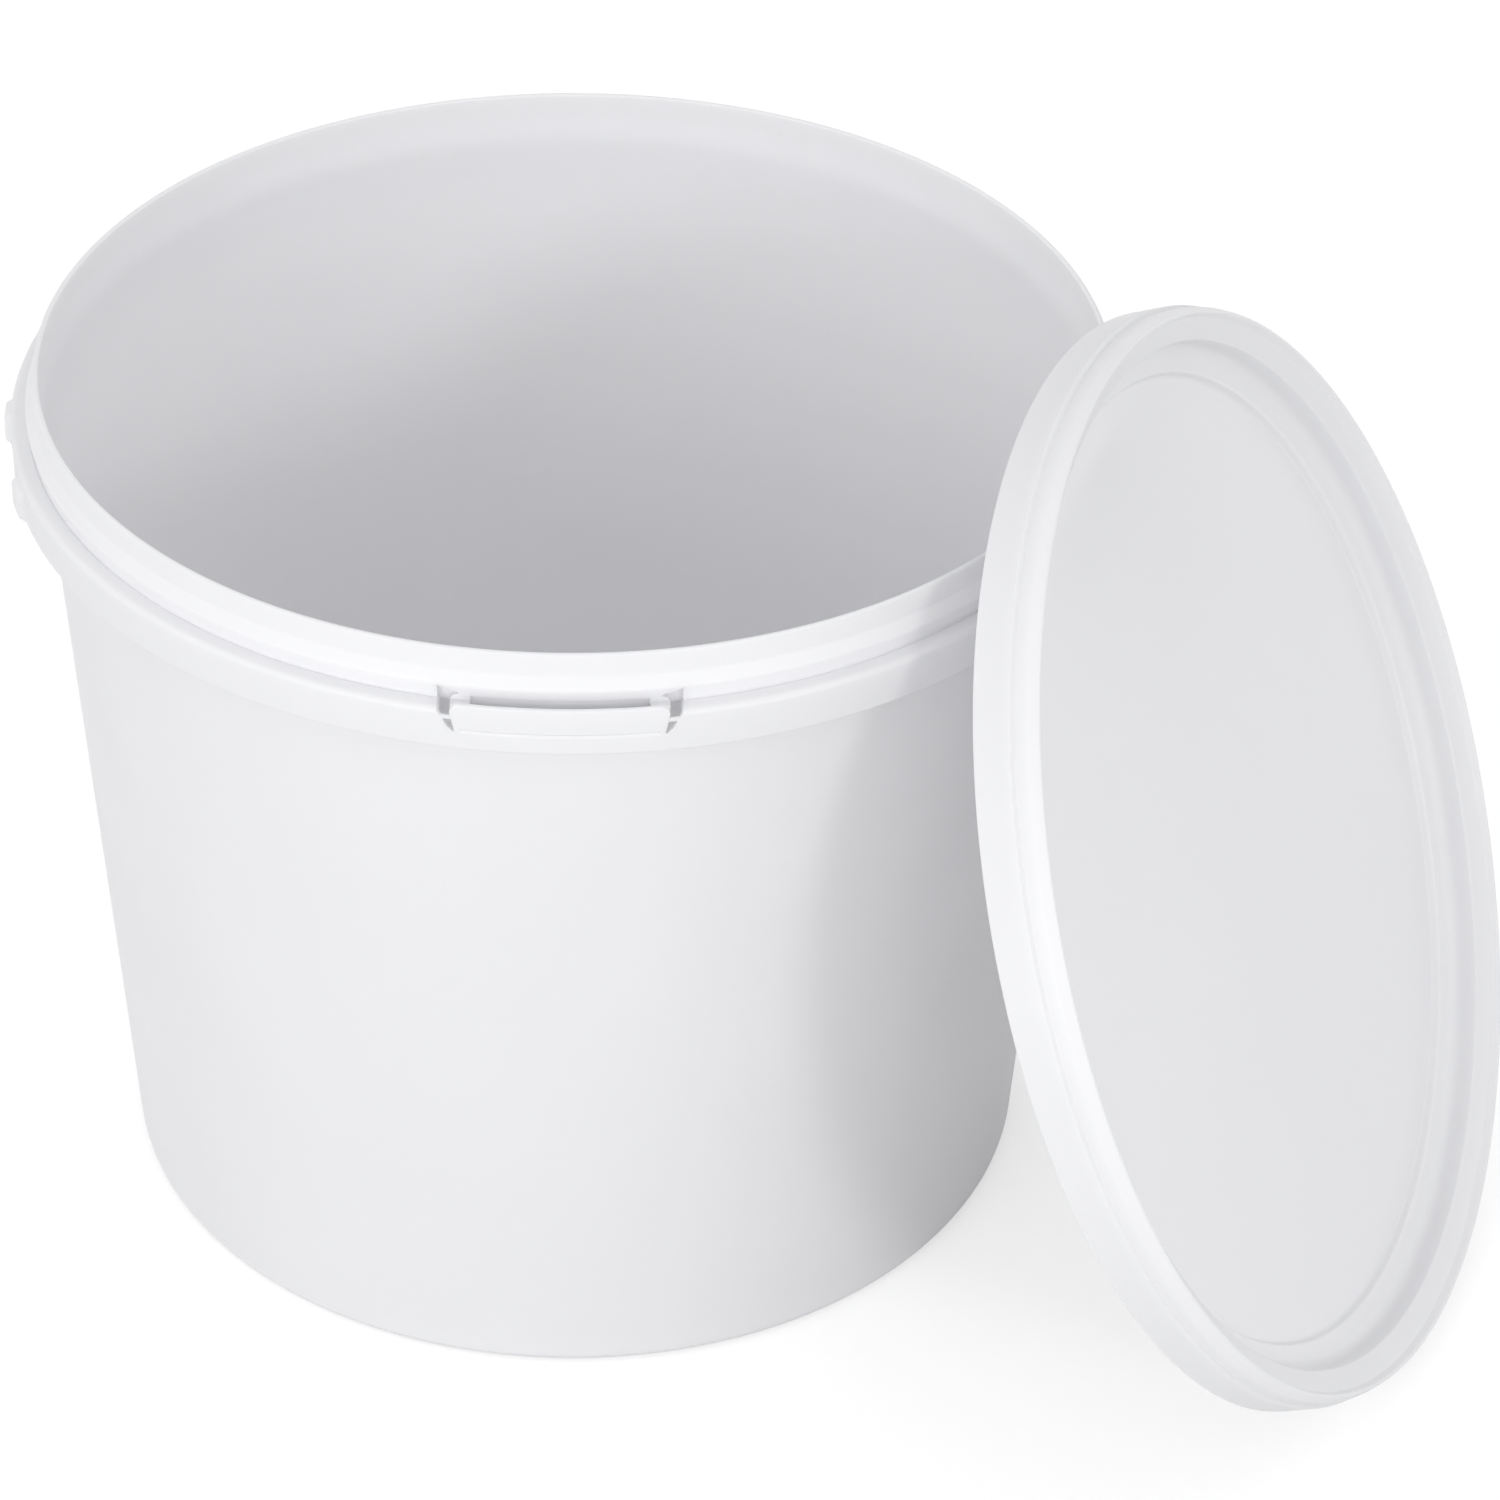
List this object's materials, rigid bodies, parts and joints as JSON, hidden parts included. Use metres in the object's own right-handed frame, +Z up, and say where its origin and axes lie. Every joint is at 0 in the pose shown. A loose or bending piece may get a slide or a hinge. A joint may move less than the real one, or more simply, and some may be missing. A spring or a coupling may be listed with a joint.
{
  "type": "plastic bucket",
  "caption": "Round tapered white plastic bucket with a snap rim, hollow skirt and tear tab, its press-on lid leaning against the side.",
  "frame": {"origin": "on the floor, in the middle of the footprint that the bucket and the leaning lid take up together", "axes": "+Z up along the bucket's axis, -Y towards the side with the tear tab, +X towards the side that the lid leans on"},
  "size_m": [0.3202, 0.2798, 0.2111],
  "materials": {
    "white_polypropylene": "satin as moulded, glossier on the lid's panel"
  },
  "bodies": {
    "root": {"bucket": "white_polypropylene", "lid": "white_polypropylene"}
  },
  "joints": []
}
